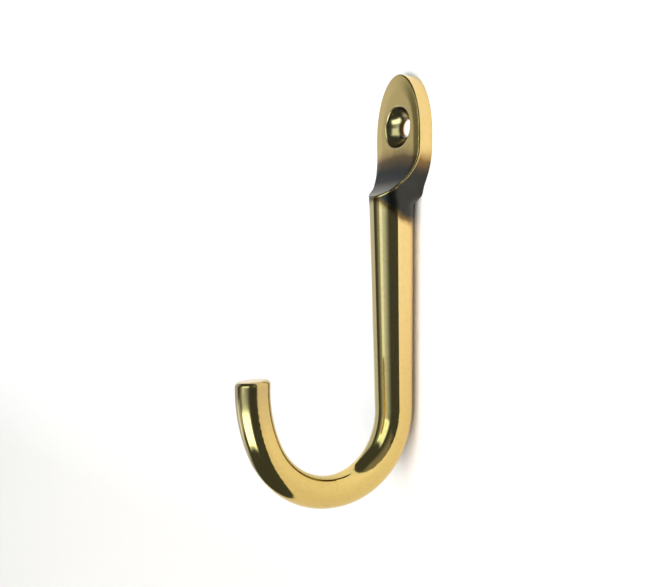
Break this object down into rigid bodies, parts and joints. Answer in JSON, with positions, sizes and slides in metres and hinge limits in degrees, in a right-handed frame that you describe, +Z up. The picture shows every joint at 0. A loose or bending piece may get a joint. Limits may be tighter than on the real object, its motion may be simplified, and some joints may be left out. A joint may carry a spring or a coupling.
{
  "type": "coat hook",
  "caption": "Cast brass coat hook with an oval countersunk screw plate, a scooped neck and a round stem that tapers into an upturned bow.",
  "frame": {"origin": "where the screw hole's axis meets the wall plane, at the plate's flat back", "axes": "+Z up along the wall, -Y straight out from the wall towards the bow, X across the hook, which is the same on both sides of X = 0"},
  "size_m": [0.0182, 0.0488, 0.1061],
  "materials": {
    "brass": "polished stem and bow, satin plate face, dark patina left in the scooped neck"
  },
  "bodies": {
    "root": {"coat_hook": "brass"}
  },
  "joints": []
}
